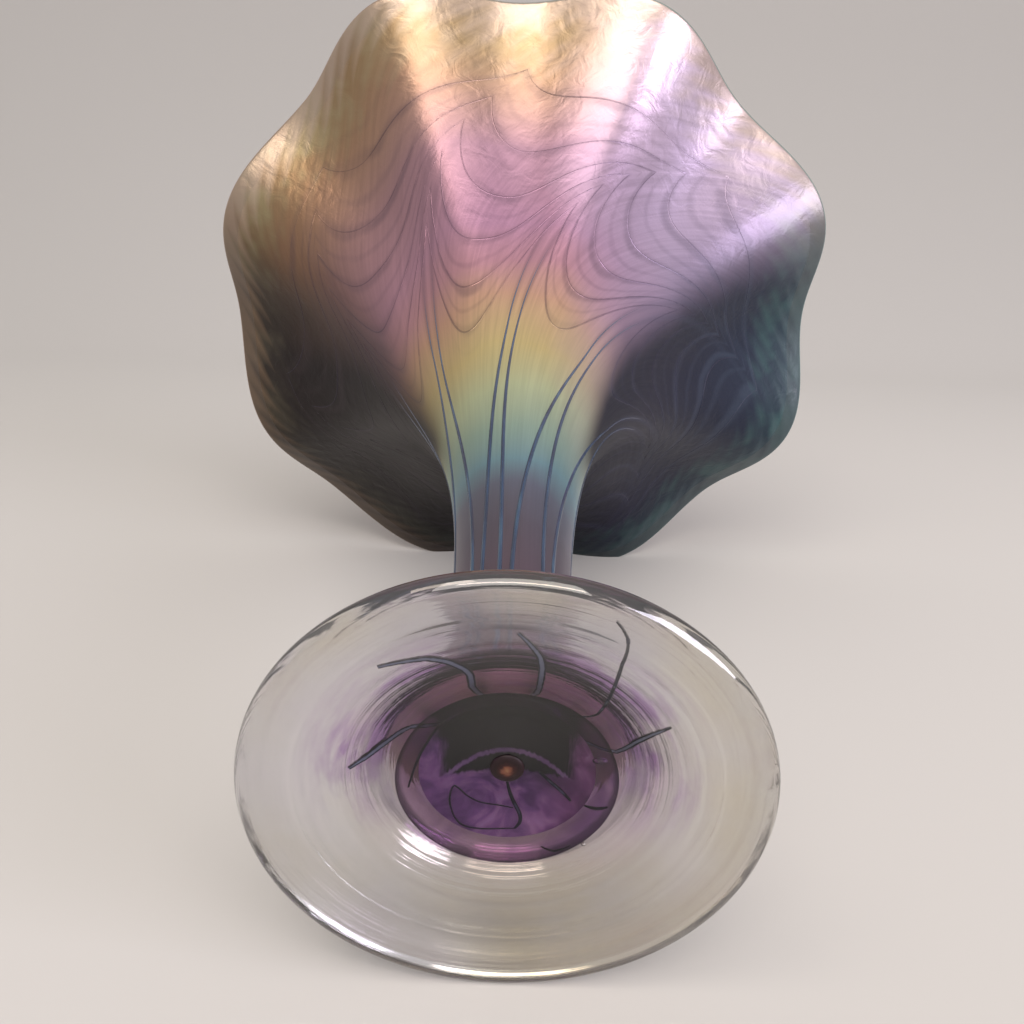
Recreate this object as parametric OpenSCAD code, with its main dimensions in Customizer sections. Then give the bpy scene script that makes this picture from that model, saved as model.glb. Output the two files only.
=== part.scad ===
// Hand blown trumpet vase: an amethyst bubble cased in iridised glass, with cobalt threads
// trailed and combed over it, an eight-lobed ruffled lip and an applied clear foot.
// Frame: Z is the vase's axis, up to the mouth, with the origin in the foot's resting plane.

/* [Foot] */
// Width of the clear foot
foot_d = 90; // [70:1:120]
// Thickness of the foot's rounded edge
foot_edge_t = 5; // [3:0.5:8]
// Width of the flat ring that the vase stands on
rest_ring_w = 3; // [1:0.5:6]
// Height of the hollow under the middle of the foot
dome_h = 10.5; // [6:0.5:16]
// Height at which the foot's neck meets the stem
neck_z = 26; // [20:1:34]
// Thickness of the foot's neck where it thins out on the stem
neck_t = 0.8; // [0.4:0.1:2]

/* [Pad and pontil] */
// Width of the amethyst pad in the foot
pad_d = 38; // [34:1:50]
// Thickness of the amethyst pad
pad_t = 2.6; // [1.5:0.1:5]
// Width of the pontil button
button_d = 6; // [4:0.5:12]
// How far the pontil button stands below the pad
button_h = 1.2; // [0.6:0.1:3]

/* [Stem] */
// Width of the stem at its waist
stem_d = 24.8; // [20:0.2:30]
// Width of the stem where it stands on the pad
stem_base_d = 31; // [30:0.5:34]
// Height of the waist, above which the trumpet opens
waist_z = 45; // [38:1:60]
// Thickness of the whole wall at the waist
stem_wall = 4.4; // [3:0.2:6]
// Glass under the round bottom of the stem's hollow
floor_t = 5; // [3:0.5:10]

/* [Trumpet] */
// Mean height of the lip
lip_z = 246; // [220:1:290]
// Mean width of the mouth
mouth_d = 216; // [180:1:250]
// How far the stem runs on straight before it opens
throat_reach = 97; // [80:1:110]
// How far the flare of the mouth reaches back
flare_reach = 81; // [60:1:90]
// Angle between the axis and the wall at the lip
flare_angle = 66; // [50:1:75]
// Thickness of the whole wall at the lip
lip_wall = 2.2; // [1.6:0.1:4]
// Share of the wall that is outer casing
casing_share = 0.55; // [0.3:0.05:0.7]

/* [Ruffle] */
// Number of lobes
lobes = 8; // [5:1:10]
// Swing of the wall out and in at the lip
ruffle = 6; // [1:0.5:9]
// Turn of the first lobe from +Y towards +X
first_lobe = 23.7; // [0:0.1:45]
// Where along the trumpet the ruffle starts
ruffle_from = 0.35; // [0.3:0.01:0.5]
// How far the most uneven lobe was pulled out or left behind
uneven = 6.5; // [0:0.5:8]
// Width of the clear lip
lip_w = 6; // [3:0.5:12]

/* [Trails] */
// Width of a glass thread
thread_w = 1; // [0.6:0.1:2]
// Height of a glass thread above its seat
thread_h = 0.45; // [0.3:0.05:1]
// Clearance between a thread and the glass under it
thread_seat = 0.4; // [0.1:0.05:0.6]
// Number of feathers combed up the trumpet, each with its pair of threads on the stem
feathers = 7; // [4:1:9]
// Turn of the first feather at the stem from +Y towards +X
first_feather = 221.6; // [180:0.1:260]
// How far the feathers twist round on their way to the lip
feather_twist = 85; // [0:1:100]
// Distance between the two threads of a pair on the stem
pair_gap = 2.4; // [1.6:0.1:3]
// Rows of combed threads across the feathers
festoon_rows = 6; // [2:1:9]
// How far the comb pulled the lowest row, as a share of the trumpet; rows nearer the lip give less
festoon_pull = 0.23; // [0.1:0.01:0.26]

/* [Hidden] */
$fn = 96;

foot_r = foot_d / 2;
edge_r = foot_edge_t / 2;
ring_out = foot_r - edge_r;
ring_in = ring_out - rest_ring_w;
pad_r = pad_d / 2;
button_r = button_d / 2;
stem_r = stem_d / 2;
base_r = stem_base_d / 2;
bore_r = stem_r - stem_wall;
curve_steps = 20;
turn_steps = 11 * lobes;

// Each lobe was pulled by hand: how far it reaches past the mean, as shares of the most uneven one
lobe_reach = [-0.43, 0.29, 0.42, 0.72, 0.88, 0.05, -0.43, -1];
// Where each pair of threads leaves the stem, beside its own feather
stem_nudge = [-5, 17, 26, 10, 0, -6, -3];
// The loose ends on the foot: turn at the stem, turn at the free end, and share of the foot run
foot_threads = [[193, 228, 0.8], [162, 179, 0.8], [124, 151, 0.85], [245, 274, 0.6], [96, 107, 0.6]];
// Where along the trumpet the lowest and highest rows of combed threads lie
festoon_from = 0.46;
festoon_to = 0.86;
// The foot's top leaves its edge and meets its neck at these shares of edge and stem
foot_flat = 0.7;
foot_rise = 1.4;
neck_spread = 1.4;
neck_rise = 2.2;

// The trumpet's outside as a cubic curve of [radius, height], from the waist to the lip
trumpet = [[stem_r, waist_z],
           [stem_r, waist_z + throat_reach],
           [mouth_d / 2 - flare_reach * sin(flare_angle), lip_z - flare_reach * cos(flare_angle)],
           [mouth_d / 2, lip_z]];
lip_length = norm(trumpet[3] - trumpet[2]) * 3;
lip_from = 1 - lip_w / lip_length;

function unit(v) = v / norm(v);
function cubic(p, t) = pow(1 - t, 3) * p[0] + 3 * t * pow(1 - t, 2) * p[1]
                     + 3 * t * t * (1 - t) * p[2] + pow(t, 3) * p[3];
function heading(p, t) = unit(pow(1 - t, 2) * (p[1] - p[0]) + 2 * t * (1 - t) * (p[2] - p[1])
                            + t * t * (p[3] - p[2]));
function steps(from, to, count) = [for (i = [0:count]) from + (to - from) * i / count];
function back(list) = [for (i = [len(list) - 1:-1:0]) list[i]];
function past_first(list) = [for (i = [1:len(list) - 1]) list[i]];

// The underside of the foot, the pad and the pad's top all follow one dome
function dome(r) = dome_h * (1 - pow(r / ring_in, 1.25));
function pad_top(r) = dome(r) + pad_t;
base_z = pad_top(base_r);

// The stem's outside radius below the waist, where it spreads onto the pad
function foot_of_stem(z) = stem_r + (base_r - stem_r) * pow((waist_z - z) / (waist_z - base_z), 3);

// The wall's thickness, and a point of it at a share of the way from outside to inside
function wall_at(t) = lip_wall + (stem_wall - lip_wall) * pow(1 - t, 2);
function outward(t) = let (h = heading(trumpet, t)) [h.y, -h.x];
function wall_point(t, share) = cubic(trumpet, t) - outward(t) * share * wall_at(t);

// The hand work at the mouth: it fades in from the throat to the lip
function fade(t) = pow(max(0, (t - ruffle_from) / (1 - ruffle_from)), 2);
function reach(turn) = let (u = (turn - first_lobe) / 360 * lobes, k = floor(u + 0.5))
    uneven * lobe_reach[((k % lobes) + lobes) % len(lobe_reach)] * (1 + cos(360 * (u - k))) / 2;
function ruffled(t, turn, share, lift = 0) =
    let (swing = ruffle * cos(lobes * (turn - first_lobe)),
         p = wall_point(t, share) + outward(t) * (fade(t) * swing + lift),
         r = p.x + fade(t) * reach(turn))
    [r * sin(turn), r * cos(turn), p.y];

// Triangles between closed sections of equal length; slant picks the diagonal of each four
module sweep(sections, closed, slant = false) {
    n = len(sections);
    m = len(sections[0]);
    sides = [for (i = [0:(closed ? n : n - 1) - 1], j = [0:m - 1])
        let (next = ((i + 1) % n) * m, a = i * m + j, b = i * m + (j + 1) % m,
             c = next + (j + 1) % m, d = next + j)
        each (slant ? [[d, b, a], [d, c, b]] : [[c, b, a], [d, c, a]])];
    caps = closed ? [] : [[for (j = [0:m - 1]) j], [for (j = [m - 1:-1:0]) (n - 1) * m + j]];
    polyhedron([for (s = sections) each s], concat(sides, caps));
}

// One layer of the ruffled bowl between two shares of the wall
module bowl_layer(from_share, to_share, slant) {
    ts = steps(ruffle_from, lip_from, 9);
    sweep([for (i = [0:turn_steps - 1]) let (turn = i * 360 / turn_steps)
        concat([for (t = ts) ruffled(t, turn, from_share)],
               [for (t = back(ts)) ruffled(t, turn, to_share)])],
        closed = true, slant = slant);
}

// A thread laid along points of a surface, with the surface's outward direction at each
module thread(points, outs, closed) {
    n = len(points);
    sweep([for (i = [0:n - 1])
        let (ahead = points[closed ? (i + 1) % n : min(i + 1, n - 1)],
             behind = points[closed ? (i + n - 1) % n : max(i - 1, 0)],
             side = unit(cross(ahead - behind, outs[i])) * thread_w / 2)
        [points[i] - side, points[i] + outs[i] * thread_h, points[i] + side]],
        closed = closed);
}

// The outward direction of the ruffled wall, from how it runs along and around
function ruffled_out(t, turn) = unit(cross(
    ruffled(t + 0.002, turn, 0) - ruffled(t - 0.002, turn, 0),
    ruffled(t, turn + 0.2, 0) - ruffled(t, turn - 0.2, 0)));

module foot_disc() {
    edge = [for (a = [-90:15:90]) [ring_out + edge_r * cos(a), edge_r + edge_r * sin(a)]];
    top = [for (t = past_first(steps(0, 1, curve_steps))) foot_top(t)];
    seat = [for (z = steps(neck_z, base_z, curve_steps)) [foot_of_stem(z), z]];
    shoulder = [for (r = past_first(steps(base_r, pad_r, 4))) [r, pad_top(r)]];
    under = [for (r = steps(pad_r, ring_in, curve_steps)) [r, dome(r)]];
    color("lightcyan") rotate_extrude() polygon(concat(edge, top, seat, shoulder, under));
}

// The top of the foot as a cubic curve, from its edge up to its neck on the stem
function foot_top(t) = cubic([[ring_out, foot_edge_t],
                              [ring_out * foot_flat, foot_edge_t * foot_rise],
                              [stem_r * neck_spread, foot_edge_t * neck_rise],
                              [foot_of_stem(neck_z) + neck_t, neck_z]], t);

module amethyst_pad() {
    rs = steps(0, pad_r, curve_steps);
    color("indigo") rotate_extrude()
        polygon(concat([for (r = rs) [r, dome(r)]], [for (r = back(rs)) [r, pad_top(r)]]));
}

module pontil_button() {
    crown = [for (r = steps(0, button_r, 6)) [r, dome(r)]];
    brim_z = dome(button_r);
    drop = brim_z - (dome_h - button_h);
    bulge = [for (a = [15:15:90]) [button_r * cos(a), brim_z - drop * sin(a)]];
    color("saddlebrown") rotate_extrude() polygon(concat(crown, bulge));
}

// A line up the stem at a share of the wall's depth, from above the pad to where the ruffle starts
function stem_line(share) = concat(
    [for (z = past_first(steps(base_z, waist_z, curve_steps))) [foot_of_stem(z) - share * stem_wall, z]],
    [for (t = past_first(steps(0, ruffle_from, 10))) wall_point(t, share)]);

module stem_core() {
    under = [for (r = steps(0, base_r - casing_share * stem_wall, 8)) [r, pad_top(r)]];
    bore_floor = pad_top(0) + floor_t;
    hollow = [for (a = [0:10:90]) [bore_r * cos(a), bore_floor + bore_r * (1 - sin(a))]];
    inside = [for (t = back(steps(0, ruffle_from, 10))) wall_point(t, 1)];
    color("mediumpurple") rotate_extrude()
        polygon(concat(under, stem_line(casing_share), inside, past_first(hollow)));
}

module stem_casing() {
    seat = [for (r = steps(base_r - casing_share * stem_wall, base_r, 4)) [r, pad_top(r)]];
    color("plum") rotate_extrude()
        polygon(concat(seat, stem_line(0), back(stem_line(casing_share))));
}

module bowl_lining() {
    color("thistle") bowl_layer(casing_share, 1, slant = true);
}

module bowl_casing() {
    color("orchid") bowl_layer(0, casing_share, slant = false);
}

// The lip's fire-polished nose goes round from the wall's outside to its inside
module rim_lip() {
    nose_out = heading(trumpet, 1);
    color("paleturquoise") sweep([for (i = [0:turn_steps - 1])
        let (turn = i * 360 / turn_steps,
             flat = [sin(turn), cos(turn), 0],
             way = nose_out.x * flat + [0, 0, nose_out.y])
        concat([ruffled(lip_from, turn, 0)],
               [for (a = [0:45:180]) ruffled(1, turn, (1 - cos(a)) / 2) + way * lip_wall / 2 * sin(a)],
               [ruffled(lip_from, turn, 1), ruffled(lip_from, turn, casing_share)])],
        closed = true);
}

// The middle of a feather at a place along the trumpet; u counts feathers, with shares between
function feather_turn(u, t) = first_feather - u * 360 / feathers - feather_twist * pow(t, 2.5);
function eased(x) = let (c = min(1, max(0, x))) c * c * (3 - 2 * c);

// Pairs of cobalt threads climb the stem and part to become the two edges of a feather
module stem_trails() {
    thread_end = festoon_from + festoon_pull * 0.65;
    zs = steps(neck_z + 1, waist_z, 3);
    ts = past_first(steps(0, thread_end, 11));
    apart = asin(pair_gap / stem_d);
    edge = 160 / feathers;
    color("navy") for (pair = [0:feathers - 1], side = [-1, 1]) {
        start = first_feather - pair * 360 / feathers + stem_nudge[pair % len(stem_nudge)];
        low_turn = start + side * apart;
        turns = [for (t = ts) start + (feather_turn(pair, t) - start) * eased(t / festoon_from)
                              + side * (apart + (edge - apart) * eased(t / festoon_from))];
        low = [for (z = zs) let (r = foot_of_stem(z) + thread_seat)
            [r * sin(low_turn), r * cos(low_turn), z]];
        low_out = [for (z = zs) [sin(low_turn), cos(low_turn), 0]];
        high = [for (i = [0:len(ts) - 1]) ruffled(ts[i], turns[i], 0, thread_seat)];
        high_out = [for (i = [0:len(ts) - 1]) ruffled_out(ts[i], turns[i])];
        thread(concat(low, high), concat(low_out, high_out), closed = false);
    }
}

// Threads wound round the bowl and combed into one scallop to a feather; their points gather
// towards the scallops' ends, where the ruffled wall bends most
module festoon_trails() {
    count = 20 * feathers;
    color("midnightblue") for (row = [0:festoon_rows - 1]) {
        low = festoon_from + row * (festoon_to - festoon_from) / (festoon_rows - 1);
        pull = festoon_pull * (lip_from - low) / (lip_from - festoon_from);
        us = [for (i = [0:count - 1]) let (u = i * feathers / count, k = round(u))
            k + sign(u - k) * pow(2 * abs(u - k), 0.8) / 2];
        ts = [for (u = us) low + pull * pow(2 * abs(u - round(u)), 2.2)];
        turns = [for (i = [0:count - 1]) feather_turn(-us[i], ts[i])];
        thread([for (i = [0:count - 1]) ruffled(ts[i], turns[i], 0, thread_seat)],
               [for (i = [0:count - 1]) ruffled_out(ts[i], turns[i])], closed = true);
    }
}

// Loose thread ends lie on top of the foot and show through it
module foot_trails() {
    color("darkblue") for (one = foot_threads) {
        run = steps(0.2, one[2], 9);
        turns = [for (share = run) one[0] + (one[1] - one[0]) * eased((share - 0.2) / (one[2] - 0.2))];
        outs = [for (i = [0:len(run) - 1])
            let (h = unit(foot_top(1.01 - run[i]) - foot_top(0.99 - run[i])))
            [h.y * sin(turns[i]), h.y * cos(turns[i]), -h.x]];
        points = [for (i = [0:len(run) - 1]) let (p = foot_top(1 - run[i]))
            [p.x * sin(turns[i]), p.x * cos(turns[i]), p.y] + outs[i] * thread_seat];
        thread(points, outs, closed = false);
    }
}

foot_disc();
amethyst_pad();
pontil_button();
stem_core();
stem_casing();
bowl_lining();
bowl_casing();
rim_lip();
stem_trails();
festoon_trails();
foot_trails();
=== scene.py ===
# A hand blown trumpet vase of amethyst glass, cased, trailed, combed and iridised, on an applied
# clear foot. It lies on its side, foot towards the camera, as in the photograph.
import math
from functools import partial
import bmesh
import bpy
from mathutils import Matrix, Vector
from mathutils.bvhtree import BVHTree
from mathutils.kdtree import KDTree


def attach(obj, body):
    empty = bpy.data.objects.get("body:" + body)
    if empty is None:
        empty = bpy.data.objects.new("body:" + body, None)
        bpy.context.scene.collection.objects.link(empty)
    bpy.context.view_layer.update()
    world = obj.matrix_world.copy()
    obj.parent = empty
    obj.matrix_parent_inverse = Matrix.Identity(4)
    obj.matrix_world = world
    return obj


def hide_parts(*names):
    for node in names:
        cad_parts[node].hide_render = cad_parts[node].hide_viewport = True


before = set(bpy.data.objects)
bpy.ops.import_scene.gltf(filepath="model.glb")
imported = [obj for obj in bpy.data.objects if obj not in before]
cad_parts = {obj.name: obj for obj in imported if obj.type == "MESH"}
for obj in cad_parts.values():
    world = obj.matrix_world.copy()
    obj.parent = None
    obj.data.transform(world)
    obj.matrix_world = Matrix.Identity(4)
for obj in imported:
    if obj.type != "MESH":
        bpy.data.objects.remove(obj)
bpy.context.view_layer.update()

# ---- The camera
# The photographer held the camera close to the foot and looked up the stem into the underside of
# the mouth. The angles turn it from +Z towards +Y, then sideways, then about its own view.
CAMERA_AT = Vector((0.0, -0.12524, -0.12274))
CAMERA_PITCH = math.radians(29.2987)
CAMERA_YAW = math.radians(-0.13649)
CAMERA_ROLL = math.radians(1.61008)
CAMERA_LENS = 36.086
CAMERA_SENSOR = 36.0
FRAME_SIDE = 1024

ahead = Vector((0, math.sin(CAMERA_PITCH), math.cos(CAMERA_PITCH)))
over = Vector((0, -math.cos(CAMERA_PITCH), math.sin(CAMERA_PITCH)))
view_ahead = ahead * math.cos(CAMERA_YAW) + Vector((1, 0, 0)) * math.sin(CAMERA_YAW)
level_side = Vector((1, 0, 0)) * math.cos(CAMERA_YAW) - ahead * math.sin(CAMERA_YAW)
view_side = level_side * math.cos(CAMERA_ROLL) + over * math.sin(CAMERA_ROLL)
view_up = over * math.cos(CAMERA_ROLL) - level_side * math.sin(CAMERA_ROLL)


def in_scene(name, data):
    """A new object in the scene."""
    thing = bpy.data.objects.new(name, data)
    bpy.context.scene.collection.objects.link(thing)
    return thing


camera_data = bpy.data.cameras.new("camera")
camera_data.lens = CAMERA_LENS
camera_data.sensor_width = CAMERA_SENSOR
camera_data.sensor_fit = "AUTO"
camera_data.clip_start = 0.005
camera = in_scene("camera", camera_data)
camera.matrix_world = Matrix.Translation(CAMERA_AT) @ Matrix(
    (view_side, view_up, -view_ahead)).transposed().to_4x4()
bpy.context.scene.camera = camera

# What the photograph shows, in its own pixels: the camera is set by the rims of foot and mouth.
IMAGE_POINTS = {
    "object_left": (223, 235), "object_right": (826, 235), "object_bottom": (507, 983),
    "foot_left": (234, 777), "foot_right": (781, 777), "foot_top": (507, 569),
    "pad_left": (395, 781), "pad_right": (619, 781), "pad_bottom": (507, 863),
    "pontil": (507, 768), "lip_upper_left": (268, 141), "lip_upper_right": (745, 110),
    "stem_left": (451, 500), "stem_right": (579, 500),
    "scallop_left": (397, 295), "scallop_middle": (477, 282),
    "seed_large": (600, 761), "seed_small": (583, 844), "nick": (775, 778),
}

GLASS_INDEX = 1.52


def from_view(x, y, carrier, depth=0.0):
    """The place on carrier's surface that shows at an image point, and its outward direction.

    With a depth it is the place that far inside the glass, along the bent ray."""
    ray = camera.matrix_world.to_3x3() @ Vector((
        x - FRAME_SIDE / 2, FRAME_SIDE / 2 - y, -FRAME_SIDE * CAMERA_LENS / CAMERA_SENSOR))
    ray.normalize()
    place, out = carrier.ray_cast(CAMERA_AT, ray)[:2]
    if place is None:
        tries = [carrier.find_nearest(CAMERA_AT + ray * step / 500) for step in range(50, 250)]
        place, out = min(tries, key=lambda hit: hit[3])[:2]
    slant = max(0.0, -ray.dot(out))
    bent = ray / GLASS_INDEX + out * (
        slant / GLASS_INDEX - math.sqrt(1 - (1 - slant * slant) / GLASS_INDEX ** 2))
    return place + bent * depth, out


# ---- The amethyst bubble: stem core and bowl lining
# One gather of amethyst glass, blown to a long bubble, opened to a trumpet and ruffled by hand
# into eight lobes. Its inside took the metal fume too, and shows gold and rose streaks.
MM = 0.001
STEM_R, STEM_BASE_R, WAIST_Z, STEM_WALL, LIP_WALL = 12.4, 15.5, 45, 4.4, 2.2
LIP_Z, MOUTH_R, THROAT_REACH, FLARE_REACH, FLARE_ANGLE = 246, 108, 97, 81, math.radians(66)
CASING_SHARE = 0.55
LOBES, RUFFLE, FIRST_LOBE, RUFFLE_FROM, LIP_W = 8, 6, 23.7, 0.35, 6
LOBE_REACH = [6.5 * share for share in (-0.43, 0.29, 0.42, 0.72, 0.88, 0.05, -0.43, -1)]
DOME_H, RING_OUT, RING_IN, NECK_Z, PAD_T, FLOOR_T = 10.5, 42.5, 39.5, 26, 2.6, 5
BELOW_WAIST = 3 * THROAT_REACH
FEATHERS, FIRST_FEATHER, FEATHER_TWIST, TWIST_POWER = 7, 221.6, 85, 2.5

TRUMPET = [Vector((STEM_R, WAIST_Z)), Vector((STEM_R, WAIST_Z + THROAT_REACH)),
           Vector((MOUTH_R - FLARE_REACH * math.sin(FLARE_ANGLE),
                   LIP_Z - FLARE_REACH * math.cos(FLARE_ANGLE))),
           Vector((MOUTH_R, LIP_Z))]
LIP_FROM = 1 - LIP_W / (3 * (TRUMPET[3] - TRUMPET[2]).length)


def cubic(p, t):
    return (1 - t) ** 3 * p[0] + 3 * t * (1 - t) ** 2 * p[1] + 3 * t * t * (1 - t) * p[2] + t ** 3 * p[3]


def heading(t):
    run = ((1 - t) ** 2 * (TRUMPET[1] - TRUMPET[0]) + 2 * t * (1 - t) * (TRUMPET[2] - TRUMPET[1])
           + t * t * (TRUMPET[3] - TRUMPET[2]))
    return run.normalized()


def dome(r):
    return DOME_H * (1 - (r / RING_IN) ** 1.25)


BASE_Z = dome(STEM_BASE_R) + PAD_T
BASE_T = (BASE_Z - WAIST_Z) / BELOW_WAIST


def stem_foot(z):
    return STEM_R + (STEM_BASE_R - STEM_R) * ((WAIST_Z - z) / (WAIST_Z - BASE_Z)) ** 3


def hand_pull(turn):
    """How much further than the mean the hand pulled the nearest lobe."""
    u = (turn - FIRST_LOBE) / 360 * LOBES
    k = math.floor(u + 0.5)
    return LOBE_REACH[k % LOBES] * (1 + math.cos(math.tau * (u - k))) / 2


def ring(r, z, turn):
    return Vector((r * math.sin(math.radians(turn)), r * math.cos(math.radians(turn)), z)) * MM


def wall(t, share, turn, lift=0.0):
    """A place in the wall: t runs up it (0 at the waist, 1 at the lip), share from outside in."""
    if t < 0:
        z = WAIST_Z + t * BELOW_WAIST
        return ring(stem_foot(z) - share * STEM_WALL + lift, z, turn)
    way = heading(t)
    out = Vector((way.y, -way.x))
    fade = max(0, (t - RUFFLE_FROM) / (1 - RUFFLE_FROM)) ** 2
    swing = RUFFLE * math.cos(math.radians(LOBES * (turn - FIRST_LOBE)))
    depth = share * (LIP_WALL + (STEM_WALL - LIP_WALL) * (1 - t) ** 2)
    p = cubic(TRUMPET, t) + out * (fade * swing + lift - depth)
    return ring(p.x + fade * hand_pull(turn), p.y, turn)


def combed(t, turn):
    """A place in the combed pattern: its round angle counts feathers, and twists with them."""
    angle = math.radians(turn + FEATHER_TWIST * max(0, t) ** TWIST_POWER - FIRST_FEATHER)
    return math.sin(angle), math.cos(angle), t


def finished(name, bm):
    """Closes a mesh, turns its faces outward and gives its object at the origin."""
    bmesh.ops.remove_doubles(bm, verts=bm.verts, dist=0.000002)
    bmesh.ops.dissolve_degenerate(bm, dist=0.000001, edges=bm.edges)
    bmesh.ops.recalc_face_normals(bm, faces=bm.faces)
    for face in bm.faces:
        face.smooth = True
    mesh = bpy.data.meshes.new(name)
    bm.to_mesh(mesh)
    bm.free()
    mesh.set_sharp_from_angle(angle=math.radians(50))
    return in_scene(name, mesh)


def rolled(name, turns, stations, places):
    """A sheet rolled round the axis: each station gives the place of one row at a turn."""
    bm = bmesh.new()
    bmesh.ops.create_grid(bm, x_segments=turns, y_segments=len(stations) - 1, size=0.5)
    pattern = bm.verts.layers.float_vector.new("combed")
    for vert in bm.verts:
        turn = (vert.co.x + 0.5) * 360
        station = stations[round((vert.co.y + 0.5) * (len(stations) - 1))]
        vert[pattern] = combed(station[0], turn)
        vert.co = places(station, turn)
    return finished(name, bm)


def spread(start, end, count):
    return [start + (end - start) * i / count for i in range(count + 1)]


def bubble_place(station, turn):
    t, share, r, z = station
    return wall(t, share, turn) if r is None else ring(r, z, turn)


bore_r = STEM_R - STEM_WALL
bore_floor = dome(0) + PAD_T + FLOOR_T
heel_r = STEM_BASE_R - CASING_SHARE * STEM_WALL
lining_stations = (
    [(BASE_T, 0, r, dome(r) + PAD_T - 0.05) for r in spread(0, STEM_BASE_R - 0.05, 12)]
    + [(BASE_T, 0, heel_r, dome(heel_r) + PAD_T)]
    + [(t, CASING_SHARE, None, 0) for t in spread(BASE_T, LIP_FROM, 50)[1:]]
    + [(t, 1, None, 0) for t in spread(LIP_FROM, 0, 84)[1:]]
    + [(0, 0, bore_r * math.cos(a), bore_floor + bore_r * (1 - math.sin(a)))
       for a in spread(0, math.pi / 2, 12)])
lining = rolled("bubble_lining", 256, lining_stations, bubble_place)


def linear(hex_colour):
    """An sRGB hex colour as the linear colour that a shader wants."""
    parts = [int(hex_colour[i:i + 2], 16) / 255 for i in (1, 3, 5)]
    return tuple(p / 12.92 if p <= 0.04045 else ((p + 0.055) / 1.055) ** 2.4 for p in parts) + (1.0,)


def add_node(owner, kind, sockets=(), out=0, bands=None, **settings):
    """Adds a shader node with its settings, colour bands, values and links. Returns an output of it.

    The sockets that the node's mode uses come in order, or some by name. A hex string is a colour."""
    node = owner.node_tree.nodes.new("ShaderNode" + kind)
    for key, value in settings.items():
        setattr(node, key, value)
    if bands:
        ramp = node.color_ramp.elements
        ramp.remove(ramp[0])
        ramp[0].position = min(bands)
        for place, colour in bands.items():
            band = ramp[0] if place == min(bands) else ramp.new(place)
            band.color = linear(colour)
    in_use = [socket for socket in node.inputs if socket.enabled]
    if isinstance(sockets, dict):
        in_use = [node.inputs[key] for key in sockets]
        sockets = sockets.values()
    for socket, value in zip(in_use, sockets):
        if isinstance(value, bpy.types.NodeSocket):
            owner.node_tree.links.new(value, socket)
        else:
            socket.default_value = linear(value) if isinstance(value, str) else value
    if isinstance(out, str):
        return node.outputs[out]
    return [socket for socket in node.outputs if socket.enabled][out] if node.outputs else None


def new_finish(name, piece):
    """Gives the piece one more material, still empty, and returns what adds nodes to it."""
    material = bpy.data.materials.new(name)
    material.use_nodes = True
    material.node_tree.nodes.clear()
    piece.data.materials.append(material)
    return partial(add_node, material)


def on_piece(add):
    """A place on the piece, in its own metres, whole and as x, y and z."""
    spot = add("TexCoord", out="Object")
    return spot, *add("SeparateXYZ", (spot,), out=slice(3))


# Fumed glass is amethyst under a film a few hundred nanometres thick: a satin, metal-like sheen.
add = new_finish("fumed_amethyst_inside", lining)
pattern = add("Attribute", out="Vector", attribute_name="combed")
streak_at = add("Mapping", {"Vector": pattern, "Scale": (9, 9, 2.2)})
streaks = add("TexNoise", {"Vector": streak_at, "Scale": 2.6, "Detail": 6, "Roughness": 0.6})
along = add("SeparateXYZ", (pattern,), out="Z")
place = add("Math", (streaks, 0.3, along), operation="MULTIPLY_ADD")
up_inside = add("MapRange", (place, 0.15, 1.25))
hues = add("ValToRGB", (up_inside,), bands={0: "#2e2033", 0.2: "#4d3c63", 0.38: "#7d5c82", 0.52: "#b0837f",
    0.66: "#cfa683", 0.8: "#c0958f", 0.92: "#a27fa6", 1: "#8f77a8"})
sheen_bump = add("Bump", {"Height": streaks, "Strength": 0.12, "Distance": 0.0006})
surface = add("BsdfPrincipled", {"Base Color": hues, "Metallic": 0.7, "Roughness": 0.3, "IOR": 1.5,
    "Coat Weight": 0.25, "Coat Roughness": 0.12, "Normal": sheen_bump})
add("OutputMaterial", (surface,))


def second_finish_under(piece, z):
    """Gives the second material to the faces that look down from below a height."""
    for face in piece.data.polygons:
        if face.center.z < z * MM and face.normal.z < -0.5:
            face.material_index = 1


# The heel of the bubble rests on the pad. Its colour is painted light and shade: the far half, against the
# solid stem, is painted black, with a painted pale arc where the bore's floor shows;
# the near half is painted as catching light, glowing violet.
add = new_finish("amethyst_heel_painted_light", lining)
second_finish_under(lining, dome(0) + PAD_T)
spot, x, y, _ = on_piece(add)
swirl = add("TexNoise", {"Vector": spot, "Scale": 130, "Detail": 4, "Distortion": 1.5})
squared = add("Math", (x, 2), operation="POWER")
bowed = add("Math", (squared, -45, y), operation="MULTIPLY_ADD")
brushed_at = add("Mapping", {"Vector": spot, "Scale": (2200, 260, 1)})
brushed = add("TexNoise", (brushed_at, 1, 3))
frayed = add("Math", (brushed, 0.0016, bowed), operation="MULTIPLY_ADD")
over_arc = add("MapRange", (frayed, -0.0034, -0.0029))
under_arc = add("MapRange", (frayed, -0.0018, -0.0022))
painted_bore_arc = add("Math", (over_arc, under_arc), operation="MULTIPLY")
low_edge = add("Math", (brushed, 0.0018, y), operation="MULTIPLY_ADD")
lit_below = add("MapRange", (low_edge, 0.0022, 0.0028))
ends = add("Math", (brushed, 0.00006, squared), operation="MULTIPLY_ADD")
lit_aside = add("MapRange", (ends, 0.00014, 0.00018))
lit = add("Math", (lit_below, lit_aside), operation="MAXIMUM")
painted_glow = add("ValToRGB", (swirl,), bands={0.35: "#9a7fa4", 0.48: "#c8abca", 0.58: "#ecd2e2", 0.7: "#faecf4"})
warm_side = add("MapRange", (x, 0.004, 0.013, 0, 0.45))
warmed = add("Mix", (warm_side, painted_glow, "#c98a94"), data_type="RGBA")
heel_painted_shade = add("Mix", (painted_bore_arc, "#0c0612", "#d9cfd4"), data_type="RGBA")
heel_painted_light_shade = add("Mix", (lit, heel_painted_shade, warmed), data_type="RGBA")
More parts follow.
